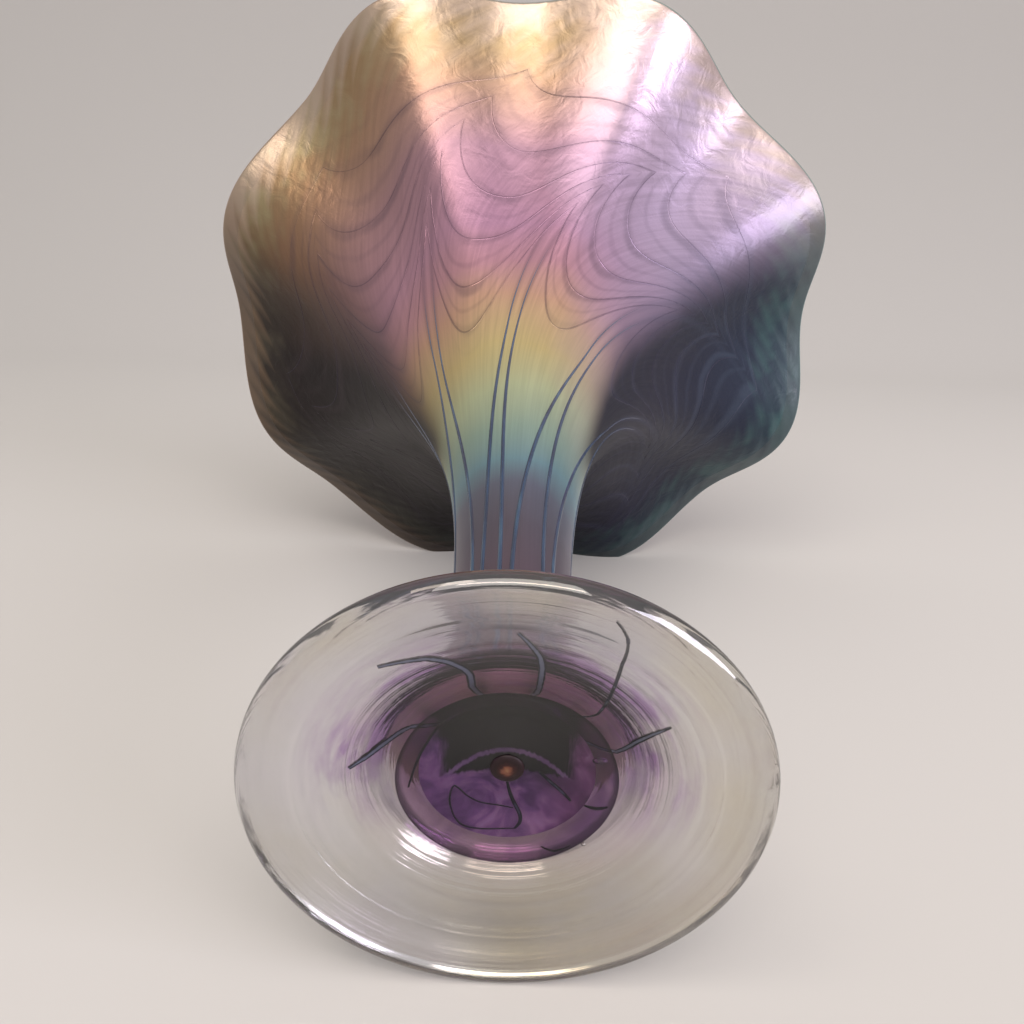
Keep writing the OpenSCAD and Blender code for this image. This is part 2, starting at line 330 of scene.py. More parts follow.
# It lies in clear glass of nearly the same index, so it hardly mirrors.
surface = add("BsdfPrincipled", {"Base Color": heel_painted_light_shade, "Roughness": 0.25, "IOR": 1.05})
add("OutputMaterial", (surface,))
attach(lining, "root")
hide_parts("stem_core", "bowl_lining")

# ---- The casing: outside of stem and bowl
# A second gather over the bubble, trailed with cobalt threads that were combed into seven twisting
# feathers, then fumed with metal salts. The film shifts from mauve over teal and gold to rose.
FESTOON_FROM, FESTOON_TO, FESTOON_PULL, FESTOON_ROWS = 0.46, 0.86, 0.23, 6
FESTOON_STEP = (FESTOON_TO - FESTOON_FROM) / (FESTOON_ROWS - 1)
COMB_POWER, FEATHER_EDGE = 2.2, 8 / 9
heel_t = (dome(heel_r) + PAD_T - WAIST_Z) / BELOW_WAIST
casing_stations = (
    [(t, 0, None, 0) for t in spread(BASE_T, LIP_FROM, 96)]
    + [(t, CASING_SHARE - 0.02, None, 0) for t in spread(LIP_FROM, heel_t, 24)]
    + [(BASE_T, 0, None, 0)])
casing = rolled("bubble_casing", 320, casing_stations, bubble_place)


def from_axis(add, x, y):
    """What of a place lies across the vase's axis, and how far out that is."""
    flat = add("CombineXYZ", (x, y))
    return flat, add("VectorMath", (flat,), operation="LENGTH")


add = new_finish("iridised_combed_casing", casing)
pattern = add("Attribute", out="Vector", attribute_name="combed")
spot, x, y, _ = on_piece(add)
sine, cosine, up = add("SeparateXYZ", (pattern,), out=slice(3))
angle = add("Math", (sine, cosine), operation="ARCTAN2")
feather = add("Math", (angle, FEATHERS / math.tau), operation="MULTIPLY")
beside = add("Math", (feather, 0.5), operation="PINGPONG")
doubled = add("Math", (beside, 2), operation="MULTIPLY")
# The comb pulled a row that lay at w up to w + drag * (LIP_FROM - w), so w is found from there.
drawn_up = add("Math", (doubled, COMB_POWER), operation="POWER")
drag = add("Math", (drawn_up, FESTOON_PULL / (LIP_FROM - FESTOON_FROM)), operation="MULTIPLY")
less = add("Math", (drag, -LIP_FROM, up), operation="MULTIPLY_ADD")
kept = add("Math", (1, drag), operation="SUBTRACT")
laid_at = add("Math", (less, kept), operation="DIVIDE")
even_row = add("MapRange", (laid_at, FESTOON_FROM, FESTOON_FROM + FESTOON_STEP), clamp=False)
waver = add("TexNoise", (spot, 38, 2))
off_true = add("Math", (waver, 0.7, even_row), operation="MULTIPLY_ADD")
row = add("Math", (off_true, 0.35), operation="SUBTRACT")
# Each thread bled a soft stain some 3 mm wide; a fainter hair line lies between the rows.
from_row = add("Math", (row, 0.5), operation="PINGPONG")
stain = add("MapRange", (from_row, 0, 0.2, 1, 0), interpolation_type="SMOOTHERSTEP")
hair = add("MapRange", (from_row, 0.5, 0.38, 0.5, 0), interpolation_type="SMOOTHERSTEP")
both = add("Math", (stain, hair), operation="MAXIMUM")
begin = add("MapRange", (row, -0.6, 0))
ending = add("MapRange", (row, 5.9, 5.2))
between = add("Math", (begin, ending), operation="MULTIPLY")
comes_goes = add("MapRange", (waver, 0.36, 0.6, 0.3))
uneven = add("Math", (both, comes_goes), operation="MULTIPLY")
festooned = add("Math", (uneven, between), operation="MULTIPLY")
# The stem threads run on as stains along the feathers' edges, fainter and fainter up the bowl.
from_edge = add("Math", (doubled, FEATHER_EDGE), operation="SUBTRACT")
off_edge = add("Math", (from_edge,), operation="ABSOLUTE")
edge_stain = add("MapRange", (off_edge, 0, 0.1, 1, 0), interpolation_type="SMOOTHERSTEP")
climb = add("MapRange", (up, 0.46, 0.5))
fade_out = add("MapRange", (up, 0.55, 0.85, 1, 0.25))
climbing = add("Math", (climb, fade_out), operation="MULTIPLY")
edge_line = add("Math", (edge_stain, climbing), operation="MULTIPLY")
soft_line = add("Math", (festooned, edge_line), operation="MAXIMUM")
# Silky streaks run with the feathers, stretched fourteen to one at the lip and more further in.
streak_at = add("Mapping", {"Vector": pattern, "Scale": (14, 14, 2.4)})
streaks = add("TexNoise", {"Vector": streak_at, "Scale": 3, "Detail": 8, "Roughness": 0.62,
    "Distortion": 0.4})
cloud = add("TexNoise", (spot, 16, 3))
banded = add("Math", (cloud, 0.12, up), operation="MULTIPLY_ADD")
hues = add("ValToRGB", (banded,), bands={0.07: "#6f5f6b", 0.15: "#6b6673", 0.2: "#727788", 0.25: "#80a3af",
    0.32: "#9fb8aa", 0.4: "#c4cca6", 0.48: "#d3c08b", 0.56: "#d3a890", 0.63: "#c492a0", 0.71: "#b88ba6",
    0.85: "#a98496", 0.95: "#b5937f", 1: "#a88f68"})
mottled = add("Math", (cloud, 0.03, x), operation="MULTIPLY_ADD")
gold_side = add("MapRange", (mottled, 0.005, -0.06, 0, 0.85))
gilded = add("Mix", (gold_side, hues, "#917056"), data_type="RGBA")
lilac_side = add("MapRange", (mottled, 0.025, 0.065, 0, 0.85))
lilac = add("Mix", (lilac_side, gilded, "#d0bcdc"), data_type="RGBA")
# The stem keeps the metal film all round. On the bowl, the side turned to the floor and from the lamps is
# painted shade:
# bare dark amethyst, warm to one hand and blue-violet to the other, with less metal; a shade more where the
# surface faces +y.
_, radius = from_axis(add, x, y)
reach = add("Math", (radius, 0.01), operation="ADD")
turned = add("Math", (y, reach), operation="DIVIDE")
facing = add("SeparateXYZ", (add("NewGeometry", out="Normal"),), out="Y")
shade = add("Math", (facing, 0.12, turned), operation="MULTIPLY_ADD")
sided = add("Math", (x, -1.2, shade), operation="MULTIPLY_ADD")
one_hand = add("MapRange", (x, 0.006, 0.034, 0, 0.45), interpolation_type="SMOOTHSTEP")
uneven_painted_shade = add("Math", (sided, one_hand), operation="ADD")
mixed = add("Math", (cloud, 0.36, uneven_painted_shade), operation="MULTIPLY_ADD")
lowered = add("Math", (turned, -0.35, up), operation="MULTIPLY_ADD")
on_stem = add("MapRange", (lowered, 0.38, 0.1), interpolation_type="SMOOTHSTEP")
patchy = add("Math", (on_stem, -1.2, mixed), operation="MULTIPLY_ADD")
film_vs_painted_shade = add("MapRange", (patchy, 0.42, -0.28), interpolation_type="SMOOTHSTEP")
mottled_side = add("MapRange", (mottled, -0.07, 0.1))
# Painted shade: the dark hues of the bowl's side turned from the lamps.
painted_shade_hues = add("ValToRGB", (mottled_side,), bands={0: "#1d1516", 0.4: "#120d0f", 0.55: "#13121b",
    0.75: "#1c1b2e", 1: "#232a3c"})
fumed = add("Mix", (film_vs_painted_shade, painted_shade_hues, lilac), data_type="RGBA")
streaked = add("MapRange", (streaks, 0.3, 0.7, 0.91, 1.07))
silky = add("Mix", (1, fumed, streaked), data_type="RGBA", blend_type="MULTIPLY")
line_depth = add("MapRange", (film_vs_painted_shade, 0, 1, 0.26, 0.34))
line_share = add("Math", (soft_line, line_depth), operation="MULTIPLY")
# The lines in the painted shade show lighter, blue-violet.
painted_shade_line_hues = add("ValToRGB", (mottled_side,), bands={0: "#3f3335", 0.4: "#3d3444", 0.6: "#46425f",
    1: "#4c5a6c"})
line_hue = add("Mix", (film_vs_painted_shade, painted_shade_line_hues, "#4e4352"), data_type="RGBA")
trailed = add("Mix", (line_share, silky, line_hue), data_type="RGBA")
# The last 20 mm or so to the lip took less amethyst: grey-green, spotted and blotched with teal.
spotted = add("Math", (angle, 66 / math.tau), operation="MULTIPLY")
spot_at = add("Math", (spotted, 0.5), operation="PINGPONG")
spot_rise = add("Math", (spot_at, 0.05, up), operation="MULTIPLY_ADD")
blotted = add("Math", (cloud, 0.05, spot_rise), operation="MULTIPLY_ADD")
rising = add("MapRange", (blotted, 0.93, 0.985))
blotches = add("TexNoise", (spot, 75, 2))
blotch_share = add("MapRange", (blotches, 0.42, 0.6, 0.2, 0.7))
teal_band = add("Math", (rising, blotch_share), operation="MULTIPLY")
side_to_side = add("MapRange", (x, -0.1, 0.1))
# In the painted shade the lip zone is dark teal and dark warm grey.
teal_in_painted_shade = add("ValToRGB", (side_to_side,), bands={0: "#4b4438", 0.3: "#35342c", 0.6: "#2f4342",
    1: "#416060"})
film_edge_hue = add("ValToRGB", (side_to_side,), bands={0: "#a39a74", 0.25: "#a59476", 0.5: "#cbb2a4",
    1: "#d6c4cf"})
edge_film = add("Mix", (film_vs_painted_shade, teal_in_painted_shade, film_edge_hue), data_type="RGBA")
greened = add("Mix", (teal_band, trailed, edge_film), data_type="RGBA")
thin_band = add("MapRange", (blotted, 0.99, 1.03, 0, 0.7))
# In the painted shade the thin band is dark too.
thin_painted_shade = add("ValToRGB", (side_to_side,), bands={0: "#7a6450", 0.4: "#463b36", 0.6: "#3b4145",
    1: "#56676c"})
thin_hue = add("Mix", (film_vs_painted_shade, thin_painted_shade, "#c4ae9e"), data_type="RGBA")
lipped = add("Mix", (thin_band, greened, thin_hue), data_type="RGBA")
# Painted light: the root inside the foot is painted pale mauve, paler towards +y, for the light that the
# clear glass round it lets in.
rooted = add("MapRange", (up, (NECK_Z + 4 - WAIST_Z) / BELOW_WAIST, (NECK_Z - 2 - WAIST_Z) / BELOW_WAIST, 0,
    0.85))
root_painted_light = add("ValToRGB", (add("MapRange", (y, -0.014, 0.014)),), bands={0: "#b98d93", 0.4: "#bd9db2",
    0.7: "#c6b6a6", 1: "#dcd2b8"})
footed = add("Mix", (rooted, lipped, root_painted_light), data_type="RGBA")
silk = add("MapRange", (streaks, 0.3, 0.7, 0.34, 0.44))
bowl_part = add("MapRange", (up, 0.5, 0.9))
satin = add("Math", (bowl_part, -0.05, silk), operation="MULTIPLY_ADD")
metal_like = add("MapRange", (film_vs_painted_shade, 0, 1, 0.15, 0.8))
# Where the bowl was spun wide the film crazed to soft wrinkles, some 6 mm apart.
wrinkles = add("TexNoise", {"Vector": spot, "Scale": 150, "Detail": 4, "Distortion": 0.8})
wrinkled = add("Math", (bowl_part, 0.3), operation="MULTIPLY")
wrinkle_bump = add("Bump", {"Height": wrinkles, "Strength": wrinkled, "Distance": 0.001})
sheen_bump = add("Bump", {"Height": streaks, "Strength": 0.06, "Distance": 0.0006, "Normal": wrinkle_bump})
surface = add("BsdfPrincipled", {"Base Color": footed, "Metallic": metal_like, "Roughness": satin,
    "IOR": 1.5, "Specular IOR Level": 0.3, "Normal": sheen_bump})
add("OutputMaterial", (surface,))
casing.data.materials.append(lining.data.materials[1])
second_finish_under(casing, dome(heel_r) + PAD_T)
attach(casing, "root")
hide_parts("stem_casing", "bowl_casing")

# ---- Cobalt threads up the stem
# Thin canes of dark blue glass, laid hot on the casing in seven pairs. Each pair runs up the stem
# and parts at the throat to edge a feather; they were marvered in, and stand a hair proud.
PAIR_GAP, THREAD_R, THIN_FROM, THINNED = 2.4, 0.55, 0.25, 0.72
SUNK, SUNK_AT_END = 0.35, 0.97
# How many degrees each pair starts off its even place.
STEM_NUDGE = [-5, 17, 26, 10, 0, -6, -3]


def eased(x):
    x = min(1, max(0, x))
    return x * x * (3 - 2 * x)


def feather_turn(u, t):
    return FIRST_FEATHER - u * 360 / FEATHERS - FEATHER_TWIST * max(0, t) ** TWIST_POWER


def laid_threads(name, lines, closed):
    """Round threads along lists of (place, width share), closed or open."""
    curve = bpy.data.curves.new(name, "CURVE")
    curve.dimensions = "3D"
    curve.bevel_depth = THREAD_R * MM
    curve.bevel_resolution = 2
    curve.use_fill_caps = True
    for line in lines:
        spline = curve.splines.new("POLY")
        spline.points.add(len(line) - 1)
        spline.use_cyclic_u = closed
        for point, (place, width) in zip(spline.points, line):
            point.co = (*place, 1)
            point.radius = width
    draft = in_scene(name + "_draft", curve)
    mesh = bpy.data.meshes.new_from_object(draft)
    bpy.data.objects.remove(draft)
    bm = bmesh.new()
    bm.from_mesh(mesh)
    bpy.data.meshes.remove(mesh)
    return finished(name, bm)


thread_end = FESTOON_FROM + 0.65 * FESTOON_PULL
apart = math.degrees(math.asin(PAIR_GAP / (2 * STEM_R)))
stem_lines = []
for pair in range(FEATHERS):
    for side in (-1, 1):
        start = FIRST_FEATHER - pair * 360 / FEATHERS + STEM_NUDGE[pair]
        line = []
        for t in spread((NECK_Z + 1 - WAIST_Z) / BELOW_WAIST, thread_end, 110):
            rise = eased(t / FESTOON_FROM)
            turn = (start + (feather_turn(pair, t) - start) * rise
                    + side * (apart + (180 * FEATHER_EDGE / FEATHERS - apart) * rise))
            width = 1 - THINNED * eased((t - THIN_FROM) / (thread_end - THIN_FROM))
            late = eased((t - FESTOON_FROM) / (thread_end - FESTOON_FROM))
            sunk = SUNK + (SUNK_AT_END - SUNK) * late
            line.append((wall(t, 0, turn, lift=-sunk * THREAD_R * width), width))
        stem_lines.append(line)
stem_threads = laid_threads("stem_threads", stem_lines, False)

add = new_finish("cobalt_thread_glass", stem_threads)
spot = add("TexCoord", out="Object")
drawn = add("Mapping", {"Vector": spot, "Scale": (400, 400, 40)})
thick_thin = add("TexNoise", (drawn, 1, 3))
blues = add("ValToRGB", (thick_thin,), bands={0.3: "#1d2a44", 0.55: "#2c4463", 0.75: "#44647c"})
height = add("SeparateXYZ", (spot,), out="Z")
bled = add("MapRange", (height, 0.105, 0.185, 0, 0.6))
paled = add("Mix", (bled, blues, "#77798a"), data_type="RGBA")
surface = add("BsdfPrincipled", {"Base Color": paled, "Metallic": 0.3, "Roughness": 0.22,
    "IOR": GLASS_INDEX, "Coat Weight": 0.4, "Coat Roughness": 0.08})
add("OutputMaterial", (surface,))
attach(stem_threads, "root")
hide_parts("stem_trails")

# ---- Combed festoons round the bowl
# One dark thread wound round the soft bowl in rings and drawn up with a hook along the feathers'
# edges, so each ring hangs in seven scallops. The glass closed over them to a faint ridge.
FESTOON_STEPS, FESTOON_SUNK = 56, 0.85


def festoon(row):
    low = FESTOON_FROM + row * FESTOON_STEP
    pull = FESTOON_PULL * (LIP_FROM - low) / (LIP_FROM - FESTOON_FROM)
    line = []
    for i in range(FESTOON_STEPS * FEATHERS):
        u = i / FESTOON_STEPS
        gap = 2 * abs(u - round(u))
        t = low + pull * gap ** COMB_POWER
        width = (1.3 - 0.5 * gap) * (1 - 0.35 * row / FESTOON_ROWS)
        line.append((wall(t, 0, feather_turn(-u, t), lift=-FESTOON_SUNK * THREAD_R * width), width))
    return line


festoons = laid_threads("combed_festoons", [festoon(row) for row in range(FESTOON_ROWS)], True)


# The threads took the same film as the casing under them: each reads the pattern of the place that
# it lies on, in the casing's own glass, a shade darker.
def lies_on(piece, carrier):
    """Copies the carrier's combed pattern to the piece, from the nearest place."""
    near = KDTree(len(carrier.data.vertices))
    for vert in carrier.data.vertices:
        near.insert(vert.co, vert.index)
    near.balance()
    source = carrier.data.attributes["combed"].data
    target = piece.data.attributes.new("combed", "FLOAT_VECTOR", "POINT").data
    for vert in piece.data.vertices:
        target[vert.index].vector = source[near.find(vert.co)[1]].vector


def same_film(name, piece):
    """Gives the piece the casing's glass again. Returns what adds nodes to it, and its shader."""
    glass = casing.data.materials[0].copy()
    glass.name = name
    piece.data.materials.append(glass)
    shader = next(n for n in glass.node_tree.nodes if n.bl_idname == "ShaderNodeBsdfPrincipled")
    return partial(add_node, glass), shader


def tinted(add, shader, share, hue):
    """Mixes a hue over the colour that the shader has."""
    under = shader.inputs["Base Color"].links[0].from_socket
    over = add("Mix", (share, under, hue), data_type="RGBA")
    shader.id_data.links.new(over, shader.inputs["Base Color"])


lies_on(festoons, casing)
add, shader = same_film("iridised_dark_thread", festoons)
spot = add("TexCoord", out="Object")
sinking = add("TexNoise", (spot, 30, 3))
shows_by = add("MapRange", (sinking, 0.38, 0.62, 0.04, 0.36))
tinted(add, shader, shows_by, "#3a3348")
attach(festoons, "root")
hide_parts("festoon_trails")

# ---- The lip
# The mouth was cracked off, melted smooth in the fire and pulled into lobes, so the wall ends in a
# rounded bead some 6 mm deep. The film is thin there and light shows through the edge.
lip_stations = (
    [(t, 0, 0) for t in spread(LIP_FROM, 1, 5)]
    + [(1 + 0.02 * math.sin(a), (1 - math.cos(a)) / 2, math.sin(a)) for a in spread(0, math.pi, 10)[1:-1]]
    + [(t, 1, 0) for t in spread(1, LIP_FROM, 5)] + [(LIP_FROM, 0.5, 0), (LIP_FROM, 0, 0)])


def lip_place(station, turn):
    t, share, nose = station
    way = heading(1)
    return wall(min(t, 1), share, turn) + ring(way.x, way.y, turn) * (LIP_WALL / 2 * nose)


lip = rolled("fire_polished_lip", 384, lip_stations, lip_place)

# Painted light: the rounded edge is painted as a bright line, cream to the left and pale blue-green to
# the right, for the light that runs round inside the wall and out at the edge.
add, shader = same_film("fire_polished_lip_glass", lip)
pattern = add("Attribute", out="Vector", attribute_name="combed")
up_wall = add("SeparateXYZ", (pattern,), out="Z")
x = on_piece(add)[1]
edge_side = add("MapRange", (x, -0.05, 0.05))
edge_painted_light = add("Mix", (edge_side, "#c2a48c", "#9cc0bd"), data_type="RGBA")
on_edge = add("MapRange", (up_wall, 1.002, 1.014, 0, 0.85))
tinted(add, shader, on_edge, edge_painted_light)
shader.inputs["Transmission Weight"].default_value = 0.35
shader.inputs["Coat Weight"].default_value = 0.5
shader.inputs["Coat Roughness"].default_value = 0.08
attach(lip, "root")
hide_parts("rim_lip")

# ---- The amethyst pad
# The round end of the amethyst gather, flattened where the foot was dropped on it. Seen through the
# foot it is a violet disc with a thin dark edge; its far part is painted shade before the stem, its outer
# ring painted lighter to the left.
PAD_R, PAD_COVER = 19, 0.12


def turned_from(name, outline, turns):
    """A solid turned from an outline of (radius, height) that starts and ends on the axis."""
    bm = bmesh.new()
    verts = [bm.verts.new((r * MM, 0, z * MM)) for r, z in outline]
    edges = [bm.edges.new(pair) for pair in zip(verts, verts[1:])]
    bmesh.ops.spin(bm, geom=verts + edges, cent=(0, 0, 0), axis=(0, 0, 1), angle=math.tau,
                   steps=turns, use_merge=True)
    return finished(name, bm)


pad = turned_from(
    "amethyst_disc", [(r, dome(r) + PAD_COVER) for r in spread(0, PAD_R, 16)]
    + [(r, dome(r) + PAD_T - PAD_COVER) for r in spread(PAD_R, 0, 16)], 128)

add = new_finish("amethyst_glass", pad)
spot, x, y, _ = on_piece(add)
_, radius = from_axis(add, x, y)
swirl = add("TexNoise", {"Vector": spot, "Scale": 90, "Detail": 4, "Distortion": 1.2})
violet = add("ValToRGB", (swirl,), bands={0.3: "#a98bb8", 0.5: "#c2a6cd", 0.7: "#d8c2e0"})
deeper = add("MapRange", (radius, 0.0148, 0.0162, 0, 0.75))
# Painted light: the outer ring is paler to the left.
painted_light_left = add("Math", (x, -11, swirl), operation="MULTIPLY_ADD")
deep_ramp = add("ValToRGB", (painted_light_left,), bands={0.35: "#7d4f92", 0.5: "#a57fb0", 0.65: "#c7a6c8"})
deepened = add("Mix", (deeper, violet, deep_ramp), data_type="RGBA")
edge = add("MapRange", (radius, 0.0182, 0.0189, 0, 0.85))
edged = add("Mix", (edge, deepened, "#2b1633"), data_type="RGBA")
# Painted shade: its far side lies before the dark solid stem, and the dark arch painted in the heel runs on
# to the disc's edge.
squared = add("Math", (x, 2), operation="POWER")
bowed = add("Math", (squared, -38, y), operation="MULTIPLY_ADD")
frayed = add("Math", (swirl, 0.002, bowed), operation="MULTIPLY_ADD")
far_part = add("MapRange", (frayed, -0.0115, -0.0135))
sides = add("MapRange", (squared, 0.00017, 0.00012, 0, 0.93))
painted_shade_arch = add("Math", (far_part, sides), operation="MULTIPLY")
painted_shade_arched = add("Mix", (painted_shade_arch, edged, "#1d1420"), data_type="RGBA")
# Set in clear glass of the same index, it bends no light: only its colour shows.
surface = add("BsdfPrincipled", {"Base Color": painted_shade_arched, "Roughness": 0, "IOR": 1, "Transmission Weight": 1})
add("OutputMaterial", (surface,))
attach(pad, "root")
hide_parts("amethyst_pad")

# ---- The clear foot
# A gather of clear crystal dropped on the pad, opened with a paddle and spun out to a shallow cup.
# The tools left faint rings, and the fume a breath of gold and silver on its top; the bright silver side is
# a painted highlight.
FOOT_EDGE_T, NECK_T, ROOT_R, ROOT_Z, FILM_OVER = 5, 0.8, STEM_R - 1, 15, 3.5
edge_r = FOOT_EDGE_T / 2


def foot_top(t):
    """The top of the foot from its edge (0) up to its neck on the stem (1)."""
    return cubic([Vector((RING_OUT, FOOT_EDGE_T)), Vector((RING_OUT * 0.7, FOOT_EDGE_T * 1.4)),
                  Vector((STEM_R * 1.4, FOOT_EDGE_T * 2.2)),
                  Vector((stem_foot(NECK_Z) + NECK_T, NECK_Z))], t)


foot = turned_from(
    "clear_foot", [(r, dome(r)) for r in spread(0, RING_IN, 40)]
    + [(RING_OUT + edge_r * math.cos(a), edge_r + edge_r * math.sin(a))
       for a in spread(-math.pi / 2, math.pi / 2, 14)]
    + [tuple(foot_top(t)) for t in spread(0, 1, 48)[1:]]
    + [(ROOT_R, NECK_Z - 0.6), (ROOT_R, ROOT_Z), (0, ROOT_Z)], 192)

for name in ("clear_crystal", "fumed_crystal"):
    add = new_finish(name, foot)
    spot, x, y, z = on_piece(add)
    flat, radius = from_axis(add, x, y)
    # Paddle rings lie about 1.5 mm apart and come and go round the foot.
    ring_at = add("CombineXYZ", (radius, z))
    ring_scale = add("Mapping", {"Vector": ring_at, "Scale": (650, 60, 1)})
    rings = add("TexNoise", (ring_scale, 1, 4))
    waves = add("TexNoise", (spot, 45, 3))
    ring_height = add("Math", (rings, waves), operation="MULTIPLY")
    if name == "clear_crystal":
        hues = add("ValToRGB", (waves,), bands={0.3: "#efeaf1", 0.5: "#f7f6f6", 0.7: "#f4f0e6"})
        film_share = add("MapRange", (radius, 0.024, 0.04, 0, 0.12))
        mark_depth, roughness = 0.1, 0.0
    else:
        film_at = add("Math", (waves, 0.014, radius), operation="MULTIPLY_ADD")
        film_tints = add("ValToRGB", (add("MapRange", (film_at, 0.018, 0.054)),), bands={0: "#9a7a8a",
            0.2: "#aa8da6", 0.42: "#ccb2cf", 0.52: "#c9c0cf", 0.7: "#dcdae0", 0.85: "#e8e4da",
            1: "#f0f2f5"})
        low_side = add("MapRange", (y, -0.004, 0.03, 0, 0.8))
        warm = add("Mix", (low_side, film_tints, "#e6dec6"), data_type="RGBA")
        # Painted highlight: towards -x and +y the top is painted near-white silver, with more metal to it.
        lit_side = add("VectorMath", (spot, (-0.86, 0.5, 0)), operation="DOT_PRODUCT")
        painted_highlight_side = add("MapRange", (lit_side, 0.016, 0.03, 0, 0.85))
        painted_highlight_silver = add("Mix", (painted_highlight_side, warm, "#f7f8fb"), data_type="RGBA")
        # Painted reflection: violet wisps round the neck, towards -y, that run with the rings.
        round_at = add("VectorMath", (flat,), operation="NORMALIZE")
        wisp_round = add("VectorMath", (round_at, (1.6, 1.6, 0)), operation="MULTIPLY")
        wisp_out = add("CombineXYZ", (0, 0, add("Math", (radius, 260), operation="MULTIPLY")))
        wisp_at = add("VectorMath", (wisp_round, wisp_out))
        wisps = add("TexNoise", {"Vector": wisp_at, "Scale": 1, "Detail": 5, "Roughness": 0.6})
        wisp_share = add("MapRange", (wisps, 0.44, 0.58))
        inner = add("MapRange", (radius, 0.037, 0.028))
        upper = add("MapRange", (y, 0.014, -0.006))
        wisp_zone = add("Math", (inner, upper), operation="MULTIPLY")
        wisp = add("Math", (wisp_share, wisp_zone), operation="MULTIPLY")
        violet_painted_reflection = add("Mix", (wisp, painted_highlight_silver, "#9a64b6"), data_type="RGBA")
        # Straight above the neck a few dark strokes run round with the rings.
        aside = add("Math", (x,), operation="ABSOLUTE")
        mid_part = add("MapRange", (aside, 0.009, 0.002))
        far_part = add("MapRange", (y, -0.024, -0.029))
        near_neck = add("MapRange", (radius, 0.038, 0.034))
        stroke_zone = add("Math", (mid_part, far_part), operation="MULTIPLY")
        stroke_part = add("Math", (stroke_zone, near_neck), operation="MULTIPLY")
        strokes = add("MapRange", (rings, 0.42, 0.56))
        stroke = add("Math", (strokes, stroke_part), operation="MULTIPLY")
        hues = add("Mix", (stroke, violet_painted_reflection, "#2f2c40"), data_type="RGBA")
        ring_film = add("MapRange", (ring_height, 0.17, 0.33, 0.12, 0.5))
        bead_film = add("MapRange", (radius, 0.037, 0.0415, 0, 0.45))
        side_film = add("Math", (painted_highlight_side, 0.3, ring_film), operation="MULTIPLY_ADD")
        film_share = add("Math", (side_film, bead_film), operation="ADD", use_clamp=True)
        mark_depth, roughness = 0.45, 0.1
    marks = add("Bump", {"Height": ring_height, "Strength": mark_depth, "Distance": 0.001})
    surface = add("BsdfPrincipled", {"Base Color": hues, "Metallic": film_share, "Roughness": roughness,
        "IOR": GLASS_INDEX, "Transmission Weight": 1, "Normal": marks})
    add("OutputMaterial", (surface,))
for face in foot.data.polygons:
    far_out = math.hypot(face.center.x, face.center.y) / MM
    if face.center.z > (dome(min(far_out, RING_IN)) + FILM_OVER) * MM and face.normal.z > 0.1:
        face.material_index = 1
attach(foot, "root")
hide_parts("foot_disc")

# ---- The pontil mark
# Where the solid iron let go: a small button, melted smooth and pitted with scale and tiny bubbles.
# Its dark ring and gold-brown middle are painted light: the gold inside of the bowl seen down the bore, in
# its dark mirrored rim.
BUTTON_R, BUTTON_H = 3, 1.2
button_drop = dome(BUTTON_R) - (DOME_H - BUTTON_H)
button = turned_from(
    "pontil_mark", [(r, dome(r) + 0.05) for r in spread(0, BUTTON_R, 6)]
    + [(BUTTON_R * math.cos(a), dome(BUTTON_R) - button_drop * math.sin(a))
       for a in spread(0, math.pi / 2, 10)[1:]], 96)

add = new_finish("pontil_glass", button)
spot, x, y, _ = on_piece(add)
_, radius = from_axis(add, x, y)
specks = add("TexNoise", (spot, 900, 4))
ragged = add("Math", (specks, 0.0014, radius), operation="MULTIPLY_ADD")
ring_band = add("MapRange", (ragged, 0, 0.0038))
bore_painted_light = add("ValToRGB", (ring_band,), bands={0.15: "#8a6a4c", 0.35: "#6b4030", 0.5: "#2e1312",
    0.7: "#1a090a", 0.95: "#241016"})
pitted = add("Bump", {"Height": specks, "Strength": 0.5, "Distance": 0.0003})
surface = add("BsdfPrincipled", {"Base Color": bore_painted_light, "Roughness": 0.45, "IOR": 1.4, "Normal": pitted})
add("OutputMaterial", (surface,))
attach(button, "root")
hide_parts("pontil_button")

# ---- Loose thread ends on the foot
# The ends of the stem threads ran down and out over the soft foot and were pressed flat: a cane that
# is dark blue along its two edges and thin between them. They show through the glass.
# Each has its greatest width, and its places from the neck outwards as (radius, turn) on the foot.
LOOSE_ENDS = [
    (2.1, [(20, 199), (23.5, 196.5), (27, 199.5), (30.5, 206.5), (33.5, 219)]),
    (1.9, [(18.5, 164), (25.5, 168), (29.5, 172), (33.5, 178)]),
    (0.7, [(20.5, 131), (27, 141), (33, 147.5), (37.5, 151), (39.5, 156.5)]),
    (1.9, [(19.5, 243), (21.5, 250), (24.5, 260), (27.5, 265.5)]),
    (1.3, [(20, 103), (23.5, 111), (27.5, 116), (30.5, 118)]),
]
CANE_T, CANE_LIFT = 0.16, 0.1
foot_skin = BVHTree.FromPolygons([v.co.copy() for v in foot.data.vertices],
                                 [tuple(face.vertices) for face in foot.data.polygons])


def run_through(stops, steps=5):
    """A smooth run through a few places, some steps to each."""
    run = []
    for i in range(len(stops) - 1):
        before, after = stops[max(i - 1, 0)], stops[min(i + 2, len(stops) - 1)]
        for step in range(steps):
            w = step / steps
            bow = (stops[i] + stops[i + 1] - before - after) * (w * (1 - w) / 4)
            run.append(stops[i].lerp(stops[i + 1], w) + bow)
    return run + [stops[-1]]


